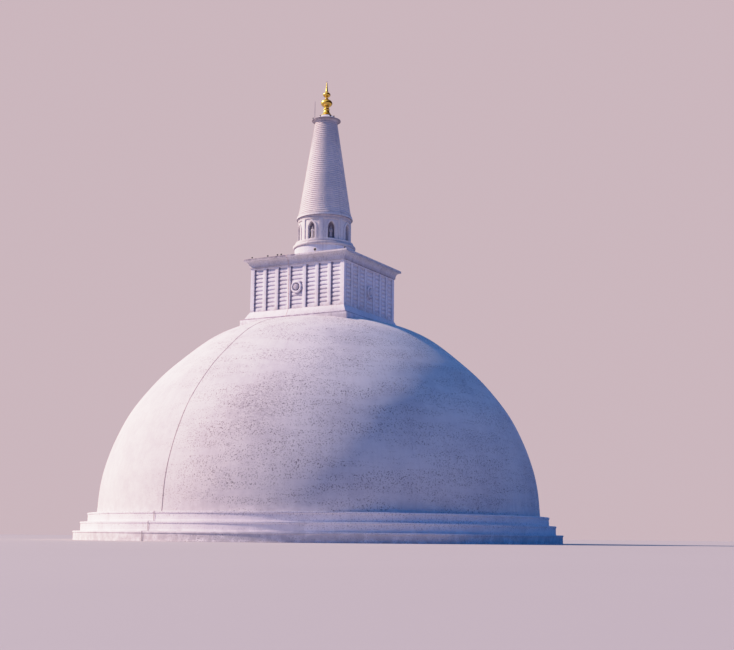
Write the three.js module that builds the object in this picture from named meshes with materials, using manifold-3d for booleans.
// A large lime-washed brick stupa as a 1:10 model: basal terraces, dome, railed square chamber,
// drum with niches, ringed spire, crown cap and gilt finial.
import * as THREE from "three";
import { mergeVertices } from "three/addons/utils/BufferGeometryUtils.js";
import Module from "manifold-3d";

// Driving dimensions in millimetres of the 1:10 model. +Z is up, the front faces -Y,
// and the origin is on the ground under the finial. Angles about the axis are in degrees,
// from the front towards the right.
const TOTAL_HEIGHT = 10300;
const GAP = 0.3;

const TERRACE_RADII = [5120, 4980, 4840];
const TERRACE_HEIGHT = 180;
const TERRACE_NOSING = 12;
const TERRACE_NOSING_HEIGHT = 30;

// Half outline of the dome above the terraces, as radius and height: full at the foot,
// leaner at the shoulder and flattened at the crown.
const DOME_FOOT = 540;
const DOME_OUTLINE = [
  [4650, DOME_FOOT],
  [4605, 1100],
  [4500, 1583],
  [4300, 2130],
  [4000, 2702],
  [3500, 3336],
  [3000, 3803],
  [2500, 4200],
  [2100, 4420],
  [1700, 4565],
  [1307, 4642],
  [0, 4780],
];
const DOME_ROWS = 16;
const GROUND_SEGMENTS = 64;

const PLINTH_HALF = 1307;
const PLINTH_BOTTOM = 4480;
const PLINTH_TOP = 4669;
const SPLAY_FOOT_HALF = 1240;
const SPLAY_FOOT_HEIGHT = 27;
const CHAMBER_HALF = 1154;
const CHAMBER_BOTTOM = 4850;
const CHAMBER_TOP = 5805;

const POST_DEPTH = 18;
const POST_WIDTH = 80;
const BAY_WIDTH = 223;
const CENTRE_BAY_WIDTH = 305;
const SIDE_BAYS = 3;
const FRAME_FOOT = 12;
const FRAME_HEAD = 20;

const BAR_PITCH = 89.5;
const BAR_GROOVES = 10;
const TOP_GROOVE = 5755;
const GROOVE_HEIGHT = 26;
const GROOVE_DEPTH = 15;
const BAR_PANEL_DEPTH = 18;

// Half outline of an emblem, as radius and height above the bars: a raised ring,
// a sunken dish and a domed boss.
const EMBLEM_HEIGHT = 5316;
const EMBLEM_OUTLINE = [
  [0, 0],
  [127, 0],
  [127, 18],
  [107, 30],
  [86, 18],
  [86, 9],
  [64, 9],
  [64, 24],
  [38, 33],
  [0, 36],
];
const EMBLEM_SEGMENTS = 18;

const CORNICE_BED = 22;
const CORNICE_BED_HEIGHT = 27;
const CORNICE_PROJECTION = 119;
const CORNICE_DRIP = 10;
const CORNICE_FASCIA = 40;
const CORNICE_TOP = 6000;
const CORNICE_STEPS = 5;
const ROOF_EDGE_HALF = 1268;
const ROOF_EDGE_TOP = 6010;
const ROOF_CROWN_HALF = 720;
const ROOF_CROWN_TOP = 6045;

const DRUM_SEGMENTS = 48;
const DRUM_BASE_RADIUS = 653;
const DRUM_BASE_TOP = 6348;
const DRUM_RING_RADIUS = 692;
const DRUM_RING_HEIGHT = 76;
const DRUM_RING_ROLL = 34;
const DRUM_RING_ARC = [-90, 90];
const DRUM_RING_STEPS = 6;
const DRUM_NECK_RADIUS = 630;
const DRUM_NECK_HEIGHT = 12;
const DRUM_SILL_RADIUS = 640;
const DRUM_SILL_TOP = 6487;
const DRUM_PANEL_RADIUS = 565;
const DRUM_RELIEF_RADIUS = 581;
const DRUM_WALL_TOP = 6950;

const NICHE_COUNT = 8;
const NICHE_HALF = 71;
const NICHE_FLOOR = 6514;
const NICHE_SPRING = 6755;
const NICHE_APEX = 6883;
const NICHE_BACK_RADIUS = 468;
const HOOD_INNER_HALF = 86;
const HOOD_OUTER_HALF = 126;
const HOOD_SPRING = 6740;
const HOOD_INNER_APEX = 6893;
const HOOD_OUTER_APEX = 6935;
const PILASTER_WIDTH = 90;
const ARCH_STEPS = 5;
const CUT_MARGIN = 20;

// Half outline of a standing robed figure on a low block, as radius and height.
const FIGURE_OUTLINE = [
  [0, 0],
  [46, 0],
  [46, 14],
  [34, 16],
  [30, 80],
  [27, 148],
  [36, 204],
  [14, 222],
  [18, 241],
  [14, 257],
  [0, 268],
];
const FIGURE_RADIUS = 523;
const FIGURE_DEPTH_SHARE = 0.72;
const FIGURE_SEGMENTS = 10;

const LIP_BED_RADIUS = 585;
const LIP_RADIUS = 630;
const LIP_DRIP = 6;
const LIP_BOTTOM = 7032;
const LIP_TOP = 7075;
const LIP_STEPS = 4;

const SPIRE_TOP = 9285;
const SPIRE_TOP_RADIUS = 251;
const SPIRE_TAPER = 0.1537;
const SPIRE_FLARE = 44;
const SPIRE_FLARE_HEIGHT = 190;
const SPIRE_RINGS = 47;
const RING_CREST = 0.4;
const RING_GROOVE = 9;
const SPIRE_SEGMENTS = 32;

const CROWN_RIM_RADIUS = 324;
const CROWN_RIM_BOTTOM = 9350;
const CROWN_RIM_TOP = 9362;
const CROWN_RIM_DRIP = 6;
const CROWN_RIM_SHELF = 22;
const CROWN_NECK_RADIUS = 148;
const CROWN_NECK_HEIGHT = 14;
const CROWN_TOP = 9485;
const CROWN_STEPS = 4;
const CROWN_SEGMENTS = 24;

// Half outline of the gilt bell on the crown cap, as radius and height above the cap.
const BELL_OUTLINE = [
  [134, 0],
  [134, 8],
  [104, 32],
  [76, 66],
  [60, 104],
  [68, 126],
  [66, 143],
  [52, 159],
  [60, 184],
];
const BELL_TOP = 9675;
const BULB_RADIUS = 129;
const BULB_HALF_HEIGHT = 91;
const BULB_ARC = [-66, 54];
const BULB_STEPS = 8;
const BULB_COLLAR = [
  [48, 9859],
  [38, 9875],
];
const ONION_FOOT = [
  [26, 9875],
  [30, 9903],
];
const ONION_RADIUS = 85;
const ONION_MIDDLE = 9969;
const ONION_HALF_HEIGHT = 60;
const ONION_ARC = [-63, 57];
const ONION_STEPS = 6;
const SPIKE_OUTLINE = [
  [28, 10049],
  [18, 10139],
  [8, 10262],
];
const CRYSTAL_RADIUS = 20;
const CRYSTAL_SEGMENTS = 14;
const CRYSTAL_ROWS = 9;
const FINIAL_SEGMENTS = 24;

const ROD_RADIUS = 6;
const ROD_FOOT_RADIUS = 10;
const ROD_FOOT_HEIGHT = 8;
const ROD_POINT = 30;
const ROD_TOP = 9760;
const ROD_CENTRE_RADIUS = 313;
const ROD_AZIMUTH = -26;
const ROD_SEGMENTS = 10;

const TAPE_WIDTH = 12;
const TAPE_THICKNESS = 4;
const TAPE_FACET = 1.5;

const CROWN_LAMP_AZIMUTHS = [-42, 5, 46, 62];
const CROWN_LAMP_SIZE = 20;
const ROOF_LAMP_PLACES = [-1079, -681, -435, -341, 497, 1207];
const ROOF_LAMP_SIZE = 32;
const ROOF_LAMP_INSET = 30;
const ROUND_LAMP_PLACE = 497;
const ROUND_LAMP_RADIUS = 34;

// A box lamp's parts as shares of its size, and a round lamp's as shares of its radius.
const LAMP_FOOT = { half: 0.3, top: 0.12 };
const LAMP_STEM = { half: 0.1, top: 0.6 };
const LAMP_HEAD = { half: 0.5, halfDepth: 0.35, bottom: 0.5, top: 1.2 };
const ROUND_LAMP = { back: 0.5, taper: 0.45, depth: 0.6, middle: 1.1, segments: 16 };

const SIDES = ["front", "right", "back", "left"];
const QUARTER = Math.PI / 2;

const LIMEWASH = new THREE.MeshStandardMaterial({ color: 0xf2ecef, roughness: 0.9 });
const GILT = new THREE.MeshStandardMaterial({ color: 0xd9a520, roughness: 0.3, metalness: 1 });
const ROCK_CRYSTAL = new THREE.MeshStandardMaterial({ color: 0xf6dfe6, roughness: 0.1 });
const COPPER = new THREE.MeshStandardMaterial({ color: 0x8d8088, roughness: 0.6, metalness: 1 });
const LAMP_METAL = new THREE.MeshStandardMaterial({ color: 0x2c2d36, roughness: 0.5, metalness: 0.8 });

const wasm = await Module();
wasm.setup();

const stupa = new THREE.Group();

// Adds a geometry to the model as a named mesh.
function add(name, geometry, material) {
  const mesh = new THREE.Mesh(geometry, material);
  mesh.name = name;
  stupa.add(mesh);
}

// A closed solid for joining and cutting, from a three.js geometry.
function solid(geometry) {
  const bare = geometry.index ? geometry.toNonIndexed() : geometry.clone();
  bare.deleteAttribute("normal");
  bare.deleteAttribute("uv");
  const merged = mergeVertices(bare, 1e-3);
  return new wasm.Manifold(
    new wasm.Mesh({
      numProp: 3,
      vertProperties: merged.attributes.position.array,
      triVerts: new Uint32Array(merged.index.array),
    }),
  );
}

// A three.js geometry from a solid.
function geometryOf(body) {
  const mesh = body.getMesh();
  const geometry = new THREE.BufferGeometry();
  geometry.setAttribute("position", new THREE.BufferAttribute(mesh.vertProperties, 3));
  geometry.setIndex(new THREE.BufferAttribute(mesh.triVerts, 1));
  geometry.computeVertexNormals();
  return geometry;
}

function joined(bodies) {
  return bodies.reduce((sum, body) => sum.add(body));
}

function radians(angle) {
  return (angle * Math.PI) / 180;
}

// A round piece about the vertical axis from outline points of radius and height, bottom to top.
function turned(outline, segments) {
  const points = outline.map(([radius, height]) => new THREE.Vector2(radius, height));
  return new THREE.LatheGeometry(points, segments).rotateX(QUARTER);
}

// A square piece with mitred corners from outline points of half width and height, bottom to top.
function squareTurned(outline) {
  const points = outline.map(([half, height]) => new THREE.Vector2(half * Math.SQRT2, height));
  return new THREE.LatheGeometry(points, 4, Math.PI / 4).rotateX(QUARTER);
}

// A box given by its lowest and highest corners.
function boxBetween(low, high) {
  const size = high.map((value, axis) => value - low[axis]);
  const middle = high.map((value, axis) => (value + low[axis]) / 2);
  return new THREE.BoxGeometry(...size).translate(...middle);
}

// A box that stands on z = 0 over a rectangle about the axis.
function standingBox(half, halfDepth, bottom, top) {
  return boxBetween([-half, -halfDepth, bottom], [half, halfDepth, top]);
}

// An upright outline in X and Z, given depth and set so that its outer face is at y = -outer.
function standing(shape, outer, depth) {
  const options = { depth, bevelEnabled: false, curveSegments: ARCH_STEPS };
  return new THREE.ExtrudeGeometry(shape, options).rotateX(QUARTER).translate(0, depth - outer, 0);
}

// An outline of distances from the axis and heights, extruded across the front face by a width.
function across(outline, width) {
  const shape = new THREE.Shape(outline.map((point) => new THREE.Vector2(...point)));
  const slab = new THREE.ExtrudeGeometry(shape, { depth: width, bevelEnabled: false });
  return slab.rotateX(QUARTER).rotateZ(-QUARTER).translate(width / 2, 0, 0);
}

// Points of a quarter ellipse that leaves the start upright and ends level, both ends included.
function cavetto(start, end, steps) {
  const points = [];
  for (let i = 0; i <= steps; i++) {
    const angle = (QUARTER * i) / steps;
    const radius = start[0] + (end[0] - start[0]) * (1 - Math.cos(angle));
    points.push([radius, start[1] + (end[1] - start[1]) * Math.sin(angle)]);
  }
  return points;
}

// Points of an elliptic arc that bulges outwards, between two angles in degrees from level.
function bulge(inner, reach, middle, halfHeight, arc, steps) {
  const points = [];
  for (let i = 0; i <= steps; i++) {
    const angle = radians(arc[0] + ((arc[1] - arc[0]) * i) / steps);
    points.push([inner + reach * Math.cos(angle), middle + halfHeight * Math.sin(angle)]);
  }
  return points;
}

// Three low round steps, each with a small nosing at its top edge.
function addTerraces() {
  ["lower_terrace", "middle_terrace", "upper_terrace"].forEach((name, level) => {
    const bottom = level * TERRACE_HEIGHT + (level ? GAP : 0);
    const top = (level + 1) * TERRACE_HEIGHT;
    const edge = TERRACE_RADII[level];
    const wall = edge - TERRACE_NOSING;
    const outline = [
      [0, bottom],
      [wall, bottom],
      [wall, top - TERRACE_NOSING_HEIGHT - TERRACE_NOSING],
      [edge, top - TERRACE_NOSING_HEIGHT],
      [edge, top],
      [0, top],
    ];
    add(name, turned(outline, GROUND_SEGMENTS), LIMEWASH);
  });
}

// The dome's half outline from foot to crown, as evenly spaced points of radius and height.
function domeRows() {
  const curve = new THREE.SplineCurve(DOME_OUTLINE.map((point) => new THREE.Vector2(...point)));
  const rows = curve.getSpacedPoints(DOME_ROWS).map((point) => [Math.max(point.x, 0), point.y]);
  rows[0][1] += GAP;
  return rows;
}

// The dome is one mass of masonry with a square seat for the plinth in its crown.
function addDome() {
  const mass = solid(turned([[0, DOME_FOOT + GAP], ...domeRows()], GROUND_SEGMENTS));
  const seat = standingBox(PLINTH_HALF, PLINTH_HALF, PLINTH_BOTTOM, CHAMBER_BOTTOM);
  add("dome", geometryOf(mass.subtract(solid(seat))), LIMEWASH);
}

// The plinth block in the crown of the dome and the splayed course on it.
function addPlinth() {
  const half = PLINTH_HALF - GAP;
  add("chamber_plinth", standingBox(half, half, PLINTH_BOTTOM + GAP, PLINTH_TOP), LIMEWASH);
  const splay = [
    [0, PLINTH_TOP + GAP],
    [SPLAY_FOOT_HALF, PLINTH_TOP + GAP],
    [SPLAY_FOOT_HALF, PLINTH_TOP + SPLAY_FOOT_HEIGHT],
    [CHAMBER_HALF, CHAMBER_BOTTOM],
    [0, CHAMBER_BOTTOM],
  ];
  add("chamber_splay", squareTurned(splay), LIMEWASH);
}

// The clear spans of the seven bays along a face, as pairs of places from its middle.
function bayPlaces() {
  const half = CENTRE_BAY_WIDTH / 2;
  const bays = [[-half, half]];
  for (let i = 0; i < SIDE_BAYS; i++) {
    const start = half + POST_WIDTH + i * (BAY_WIDTH + POST_WIDTH);
    bays.push([start, start + BAY_WIDTH]);
    bays.push([-start - BAY_WIDTH, -start]);
  }
  return bays;
}

// The posts of one face, joined at head and foot, with an opening for each bay.
function postFrame(halfWidth) {
  const bottom = CHAMBER_BOTTOM + GAP;
  const top = CHAMBER_TOP - GAP;
  const back = CHAMBER_HALF - POST_DEPTH + GAP;
  const plate = boxBetween([-halfWidth, -CHAMBER_HALF, bottom], [halfWidth, -back, top]);
  const openings = bayPlaces().map(([start, end]) => {
    const low = [start, -CHAMBER_HALF - CUT_MARGIN, bottom + FRAME_FOOT];
    const high = [end, CUT_MARGIN - back, top - FRAME_HEAD];
    return solid(boxBetween(low, high));
  });
  return geometryOf(solid(plate).subtract(joined(openings)));
}

// The level bars of one face: a slab with grooves that run across between the posts.
function barPanel(halfWidth) {
  const face = CHAMBER_HALF - POST_DEPTH;
  const back = face - BAR_PANEL_DEPTH + GAP;
  const outline = [
    [face, CHAMBER_TOP - GAP],
    [back, CHAMBER_TOP - GAP],
    [back, CHAMBER_BOTTOM + GAP],
    [face, CHAMBER_BOTTOM + GAP],
  ];
  for (let i = BAR_GROOVES - 1; i >= 0; i--) {
    const bottom = TOP_GROOVE - i * BAR_PITCH - GROOVE_HEIGHT / 2;
    const top = bottom + GROOVE_HEIGHT;
    outline.push([face, bottom], [face - GROOVE_DEPTH, bottom], [face - GROOVE_DEPTH, top], [face, top]);
  }
  return across(outline, 2 * halfWidth);
}

// A round emblem, fixed to the bars of a middle bay.
function emblem() {
  const seat = CHAMBER_HALF - POST_DEPTH + GAP;
  const disc = turned(EMBLEM_OUTLINE, EMBLEM_SEGMENTS).rotateX(QUARTER);
  return disc.translate(0, -seat, EMBLEM_HEIGHT);
}

// The chamber: a solid core, and on each face the bars, the posts and the emblem.
function addChamber() {
  const core = CHAMBER_HALF - POST_DEPTH - BAR_PANEL_DEPTH;
  add("chamber_core", standingBox(core, core, CHAMBER_BOTTOM + GAP, CHAMBER_TOP - GAP), LIMEWASH);
  SIDES.forEach((side, turn) => {
    // The front and back run through at the corners and the other two faces fit between them.
    const through = turn % 2 === 0;
    const barHalf = through ? CHAMBER_HALF - POST_DEPTH : core;
    const frameHalf = through ? CHAMBER_HALF : CHAMBER_HALF - POST_DEPTH;
    const angle = turn * QUARTER;
    add(side + "_bars", barPanel(barHalf - GAP).rotateZ(angle), LIMEWASH);
    add(side + "_posts", postFrame(frameHalf - GAP).rotateZ(angle), LIMEWASH);
    add(side + "_emblem", emblem().rotateZ(angle), LIMEWASH);
  });
}

// The face of the cornice as points of half width and height, from the wall up.
function corniceOutline() {
  const bed = CHAMBER_HALF + CORNICE_BED;
  const edge = CHAMBER_HALF + CORNICE_PROJECTION;
  const fasciaBottom = CORNICE_TOP - CORNICE_FASCIA;
  const flareStart = [bed, CHAMBER_TOP + CORNICE_BED_HEIGHT];
  return [
    [CHAMBER_HALF, CHAMBER_TOP],
    [bed, CHAMBER_TOP + CORNICE_BED / 2],
    ...cavetto(flareStart, [edge - CORNICE_DRIP, fasciaBottom], CORNICE_STEPS),
    [edge, fasciaBottom],
    [edge, CORNICE_TOP],
  ];
}

// The flared cornice of the chamber and the roof slab on it.
function addCornice() {
  const outline = [[0, CHAMBER_TOP], ...corniceOutline(), [0, CORNICE_TOP]];
  add("chamber_cornice", squareTurned(outline), LIMEWASH);
  const roof = [
    [0, CORNICE_TOP + GAP],
    [ROOF_EDGE_HALF, CORNICE_TOP + GAP],
    [ROOF_EDGE_HALF, ROOF_EDGE_TOP],
    [ROOF_CROWN_HALF, ROOF_CROWN_TOP],
    [0, ROOF_CROWN_TOP],
  ];
  add("chamber_roof", squareTurned(roof), LIMEWASH);
}

// The plain round block under the drum, and the rounded ring and the sill on it.
function addDrumFoot() {
  const bottom = ROOF_CROWN_TOP + GAP;
  const block = [
    [0, bottom],
    [DRUM_BASE_RADIUS, bottom],
    [DRUM_BASE_RADIUS, DRUM_BASE_TOP],
    [0, DRUM_BASE_TOP],
  ];
  add("drum_base", turned(block, DRUM_SEGMENTS), LIMEWASH);
  const ringBottom = DRUM_BASE_TOP + GAP;
  const ringHalf = (DRUM_RING_HEIGHT - GAP) / 2;
  const neckTop = DRUM_BASE_TOP + DRUM_RING_HEIGHT + DRUM_NECK_HEIGHT;
  const inner = DRUM_RING_RADIUS - DRUM_RING_ROLL;
  const middle = ringBottom + ringHalf;
  const ring = bulge(inner, DRUM_RING_ROLL, middle, ringHalf, DRUM_RING_ARC, DRUM_RING_STEPS);
  const mouldings = [
    [0, ringBottom],
    ...ring,
    [DRUM_NECK_RADIUS, DRUM_BASE_TOP + DRUM_RING_HEIGHT],
    [DRUM_NECK_RADIUS, neckTop],
    [DRUM_SILL_RADIUS, neckTop],
    [DRUM_SILL_RADIUS, DRUM_SILL_TOP],
    [0, DRUM_SILL_TOP],
  ];
  add("drum_mouldings", turned(mouldings, DRUM_SEGMENTS), LIMEWASH);
}

// A pointed arch outline that stands on a level foot, with its two sides as arcs above the spring.
function pointedArch(half, foot, spring, apex) {
  const rise = apex - spring;
  const radius = (rise * rise + half * half) / (2 * half);
  const sweep = Math.asin(rise / radius);
  const shape = new THREE.Shape();
  shape.moveTo(-half, foot);
  shape.lineTo(half, foot);
  shape.absarc(half - radius, spring, radius, 0, sweep, false);
  shape.absarc(radius - half, spring, radius, Math.PI - sweep, Math.PI, false);
  shape.closePath();
  return shape;
}

// The raised hood mould round a niche, which runs down to the foot of the wall as two jambs.
function hoodBand(outer, bottom) {
  const hood = pointedArch(HOOD_OUTER_HALF, bottom, HOOD_SPRING, HOOD_OUTER_APEX);
  const opening = pointedArch(HOOD_INNER_HALF, bottom - CUT_MARGIN, HOOD_SPRING, HOOD_INNER_APEX);
  const depth = outer - NICHE_BACK_RADIUS;
  const inside = standing(opening, outer + CUT_MARGIN, depth + 2 * CUT_MARGIN);
  return solid(standing(hood, outer, depth)).subtract(solid(inside));
}

// The drum wall: eight niches with hood moulds, and a pilaster between each two.
function addDrumWall() {
  const bottom = DRUM_SILL_TOP + GAP;
  const top = DRUM_WALL_TOP - GAP;
  const cylinder = (radius) =>
    solid(turned([[0, bottom], [radius, bottom], [radius, top], [0, top]], DRUM_SEGMENTS));
  const outer = DRUM_RELIEF_RADIUS + CUT_MARGIN;
  const reliefs = [];
  const niches = [];
  for (let i = 0; i < NICHE_COUNT; i++) {
    const turn = (i * 360) / NICHE_COUNT;
    const niche = pointedArch(NICHE_HALF, NICHE_FLOOR, NICHE_SPRING, NICHE_APEX);
    const pilaster = boxBetween(
      [-PILASTER_WIDTH / 2, -outer, bottom],
      [PILASTER_WIDTH / 2, -NICHE_BACK_RADIUS, top],
    );
    reliefs.push(hoodBand(outer, bottom).rotate([0, 0, turn]));
    reliefs.push(solid(pilaster.rotateZ(radians(turn + 180 / NICHE_COUNT))));
    niches.push(solid(standing(niche, outer, outer - NICHE_BACK_RADIUS).rotateZ(radians(turn))));
  }
  const raised = joined(reliefs).intersect(cylinder(DRUM_RELIEF_RADIUS));
  const wall = cylinder(DRUM_PANEL_RADIUS).add(raised).subtract(joined(niches));
  add("drum_wall", geometryOf(wall), LIMEWASH);
}

// One standing figure in each niche, as a slightly flattened round body.
function addFigures() {
  for (let i = 0; i < NICHE_COUNT; i++) {
    const body = turned(FIGURE_OUTLINE, FIGURE_SEGMENTS).scale(1, FIGURE_DEPTH_SHARE, 1);
    body.translate(0, -FIGURE_RADIUS, NICHE_FLOOR + GAP);
    add("niche_figure_" + (i + 1), body.rotateZ(radians((i * 360) / NICHE_COUNT)), LIMEWASH);
  }
}

// Radius of the spire's rings at a height: a straight taper with a flare at the foot.
function spireRadius(height) {
  const taper = SPIRE_TOP_RADIUS + (SPIRE_TOP - height) * SPIRE_TAPER;
  const flare = Math.max(0, 1 - (height - LIP_TOP) / SPIRE_FLARE_HEIGHT);
  return taper + SPIRE_FLARE * flare * flare;
}

// The coved lip on the drum and the conical spire with its level rings.
function addSpire() {
  const lip = [
    [0, DRUM_WALL_TOP],
    ...cavetto([LIP_BED_RADIUS, DRUM_WALL_TOP], [LIP_RADIUS - LIP_DRIP, LIP_BOTTOM], LIP_STEPS),
    [LIP_RADIUS, LIP_BOTTOM],
    [LIP_RADIUS, LIP_TOP - GAP],
    [0, LIP_TOP - GAP],
  ];
  add("spire_lip", turned(lip, DRUM_SEGMENTS), LIMEWASH);
  const pitch = (SPIRE_TOP - LIP_TOP) / SPIRE_RINGS;
  const outline = [[0, LIP_TOP]];
  for (let i = 0; i < SPIRE_RINGS; i++) {
    const groove = LIP_TOP + i * pitch;
    const crest = groove + pitch * RING_CREST;
    outline.push([spireRadius(groove) - RING_GROOVE, groove], [spireRadius(crest), crest]);
  }
  outline.push([SPIRE_TOP_RADIUS - RING_GROOVE, SPIRE_TOP - GAP], [0, SPIRE_TOP - GAP]);
  add("spire", turned(outline, SPIRE_SEGMENTS), LIMEWASH);
}

// The low conical cap over the spire, with a rim that stands out all round.
function addCrownCap() {
  const drip = [CROWN_RIM_RADIUS - CROWN_RIM_DRIP, CROWN_RIM_BOTTOM];
  const outline = [
    [0, SPIRE_TOP],
    ...cavetto([SPIRE_TOP_RADIUS, SPIRE_TOP], drip, CROWN_STEPS),
    [CROWN_RIM_RADIUS, CROWN_RIM_BOTTOM],
    [CROWN_RIM_RADIUS, CROWN_RIM_TOP],
    [CROWN_RIM_RADIUS - CROWN_RIM_SHELF, CROWN_RIM_TOP],
    [CROWN_NECK_RADIUS, CROWN_TOP - CROWN_NECK_HEIGHT],
    [CROWN_NECK_RADIUS - CROWN_RIM_DRIP, CROWN_TOP - GAP],
    [0, CROWN_TOP - GAP],
  ];
  add("crown_cap", turned(outline, CROWN_SEGMENTS), LIMEWASH);
}

// An outline whose last point is lowered to leave the gap under the piece above.
function cutShort(outline) {
  const [radius, height] = outline[outline.length - 1];
  return [...outline.slice(0, -1), [radius, height - GAP], [0, height - GAP]];
}

// The gilt finial in three pieces, and the crystal ball on its tip.
function addFinial() {
  const skirt = BELL_OUTLINE.map(([radius, height]) => [radius, CROWN_TOP + height]);
  const bell = [[0, CROWN_TOP], ...cutShort([...skirt, [skirt[skirt.length - 1][0], BELL_TOP]])];
  add("finial_bell", turned(bell, FINIAL_SEGMENTS), GILT);
  const middle = BELL_TOP + BULB_HALF_HEIGHT;
  const belly = bulge(0, BULB_RADIUS, middle, BULB_HALF_HEIGHT, BULB_ARC, BULB_STEPS);
  const bulb = [[0, BELL_TOP], [belly[0][0], BELL_TOP], ...cutShort([...belly, ...BULB_COLLAR])];
  add("finial_bulb", turned(bulb, FINIAL_SEGMENTS), GILT);
  const onion = bulge(0, ONION_RADIUS, ONION_MIDDLE, ONION_HALF_HEIGHT, ONION_ARC, ONION_STEPS);
  const spike = [[0, ONION_FOOT[0][1]], ...ONION_FOOT, ...cutShort([...onion, ...SPIKE_OUTLINE])];
  add("finial_spike", turned(spike, FINIAL_SEGMENTS), GILT);
  const spikeTop = SPIKE_OUTLINE[SPIKE_OUTLINE.length - 1][1];
  const crystal = new THREE.SphereGeometry(CRYSTAL_RADIUS, CRYSTAL_SEGMENTS, CRYSTAL_ROWS);
  crystal.rotateX(QUARTER).scale(1, 1, (TOTAL_HEIGHT - spikeTop) / (2 * CRYSTAL_RADIUS));
  add("finial_crystal", crystal.translate(0, 0, (TOTAL_HEIGHT + spikeTop) / 2), ROCK_CRYSTAL);
}

// The rod on the crown rim, with a small foot.
function addRod() {
  const foot = CROWN_RIM_TOP + GAP;
  const outline = [
    [0, foot],
    [ROD_FOOT_RADIUS, foot],
    [ROD_FOOT_RADIUS, foot + ROD_FOOT_HEIGHT],
    [ROD_RADIUS, foot + ROD_FOOT_HEIGHT],
    [ROD_RADIUS, ROD_TOP - ROD_POINT],
    [0, ROD_TOP],
  ];
  const rod = turned(outline, ROD_SEGMENTS).translate(0, -ROD_CENTRE_RADIUS, 0);
  add("lightning_rod", rod.rotateZ(radians(ROD_AZIMUTH)), COPPER);
}

// A line of points moved sideways by a distance, to its left as it goes down, with mitred bends.
function movedOff(line, distance) {
  const normals = line.slice(1).map(([out, up], i) => {
    const length = Math.hypot(out - line[i][0], up - line[i][1]);
    return [(line[i][1] - up) / length, (out - line[i][0]) / length];
  });
  return line.map(([out, up], i) => {
    const before = normals[Math.max(i - 1, 0)];
    const after = normals[Math.min(i, normals.length - 1)];
    const scale = distance / (1 + before[0] * after[0] + before[1] * after[1]);
    return [out + (before[0] + after[0]) * scale, up + (before[1] + after[1]) * scale];
  });
}

// A flat tape that lies on a line of points of distance from the axis and height, in the plane x = 0.
function tape(line) {
  const outline = [...movedOff(line, GAP), ...movedOff(line, GAP + TAPE_THICKNESS).reverse()];
  return across(outline, TAPE_WIDTH);
}

// The surface that the upper tape follows: roof, cornice, post, splay and plinth, from the top down.
function chamberFaceLine() {
  const [edgeTop, ...flare] = corniceOutline().reverse();
  return [
    [ROOF_CROWN_HALF, ROOF_CROWN_TOP],
    [edgeTop[0], ROOF_EDGE_TOP],
    ...flare,
    [CHAMBER_HALF, CHAMBER_BOTTOM],
    [SPLAY_FOOT_HALF, PLINTH_TOP + SPLAY_FOOT_HEIGHT],
    [SPLAY_FOOT_HALF, PLINTH_TOP],
    [PLINTH_HALF - GAP, PLINTH_TOP],
    [PLINTH_HALF - GAP, PLINTH_TOP - TAPE_WIDTH],
  ];
}

// The surface that the lower tape follows: the dome and the three terraces, from the top down.
function domeFaceLine(start) {
  const dome = domeRows().slice(1).reverse();
  const line = dome.filter(([radius]) => radius > start);
  let inner = DOME_OUTLINE[0][0];
  for (let level = TERRACE_RADII.length - 1; level >= 0; level--) {
    const top = (level + 1) * TERRACE_HEIGHT;
    line.push([inner, top], [TERRACE_RADII[level], top]);
    inner = TERRACE_RADII[level];
  }
  line.push([inner, TAPE_THICKNESS]);
  return line;
}

// The conductor tape: over the roof and cornice, down a post and the splay, and down the dome.
function addConductor() {
  const facet = (2 * Math.PI) / GROUND_SEGMENTS;
  const azimuth = -TAPE_FACET * facet;
  const flatness = Math.cos(facet / 2);
  const start = PLINTH_HALF / Math.cos(azimuth) / flatness;
  const upper = tape(chamberFaceLine()).translate(PLINTH_HALF * Math.tan(azimuth), 0, 0);
  add("chamber_tape", upper, COPPER);
  const lowerLine = domeFaceLine(start).map(([radius, height]) => [radius * flatness, height]);
  add("dome_tape", tape(lowerLine).rotateZ(azimuth), COPPER);
}

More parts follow.
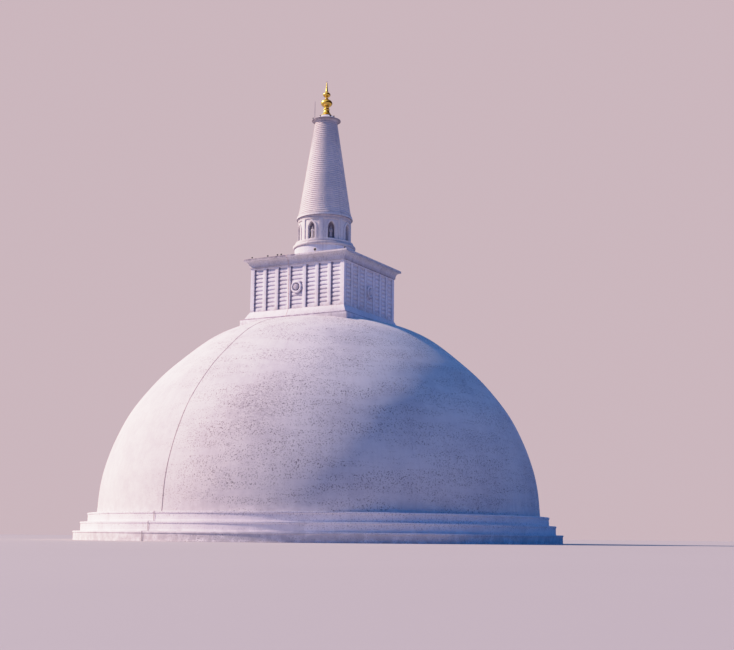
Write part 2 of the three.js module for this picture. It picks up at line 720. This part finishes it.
// A small box floodlight on a stem and foot that stands on z = 0 and faces -Y.
function boxLamp(size) {
  const foot = standingBox(size * LAMP_FOOT.half, size * LAMP_FOOT.half, 0, size * LAMP_FOOT.top);
  const stem = standingBox(size * LAMP_STEM.half, size * LAMP_STEM.half, 0, size * LAMP_STEM.top);
  const head = standingBox(
    size * LAMP_HEAD.half,
    size * LAMP_HEAD.halfDepth,
    size * LAMP_HEAD.bottom,
    size * LAMP_HEAD.top,
  );
  return geometryOf(joined([solid(stem), solid(foot), solid(head)]));
}

// A round floodlight with a wide pale housing, standing on z = 0 and facing -Y.
function roundLamp(radius) {
  const depth = radius * ROUND_LAMP.depth;
  const outline = [
    [0, 0],
    [radius * ROUND_LAMP.back, 0],
    [radius, radius * ROUND_LAMP.taper],
    [radius, depth],
    [0, depth],
  ];
  const housing = turned(outline, ROUND_LAMP.segments).rotateX(QUARTER);
  housing.translate(0, depth / 2, radius * ROUND_LAMP.middle);
  const stem = standingBox(radius * LAMP_STEM.half, radius * LAMP_STEM.half, 0, radius * LAMP_STEM.top);
  return geometryOf(joined([solid(housing), solid(stem)]));
}

// Floodlights on the crown rim and along the front edge of the chamber roof.
function addLamps() {
  const rimRadius = CROWN_RIM_RADIUS - CROWN_RIM_SHELF / 2;
  CROWN_LAMP_AZIMUTHS.forEach((azimuth, i) => {
    const lamp = boxLamp(CROWN_LAMP_SIZE).translate(0, -rimRadius, CROWN_RIM_TOP + GAP);
    add("crown_lamp_" + (i + 1), lamp.rotateZ(radians(azimuth)), LAMP_METAL);
  });
  const slope = (ROOF_CROWN_TOP - ROOF_EDGE_TOP) / (ROOF_EDGE_HALF - ROOF_CROWN_HALF);
  const footBack = ROOF_LAMP_INSET + ROOF_LAMP_SIZE * LAMP_FOOT.half;
  ROOF_LAMP_PLACES.forEach((place, i) => {
    const round = place === ROUND_LAMP_PLACE;
    const lamp = round ? roundLamp(ROUND_LAMP_RADIUS) : boxLamp(ROOF_LAMP_SIZE);
    lamp.translate(place, ROOF_LAMP_INSET - ROOF_EDGE_HALF, ROOF_EDGE_TOP + footBack * slope + GAP);
    add("roof_lamp_" + (i + 1), lamp, LAMP_METAL);
  });
}

addTerraces();
addDome();
addPlinth();
addChamber();
addCornice();
addDrumFoot();
addDrumWall();
addFigures();
addSpire();
addCrownCap();
addFinial();
addRod();
addConductor();
addLamps();

export default stupa;
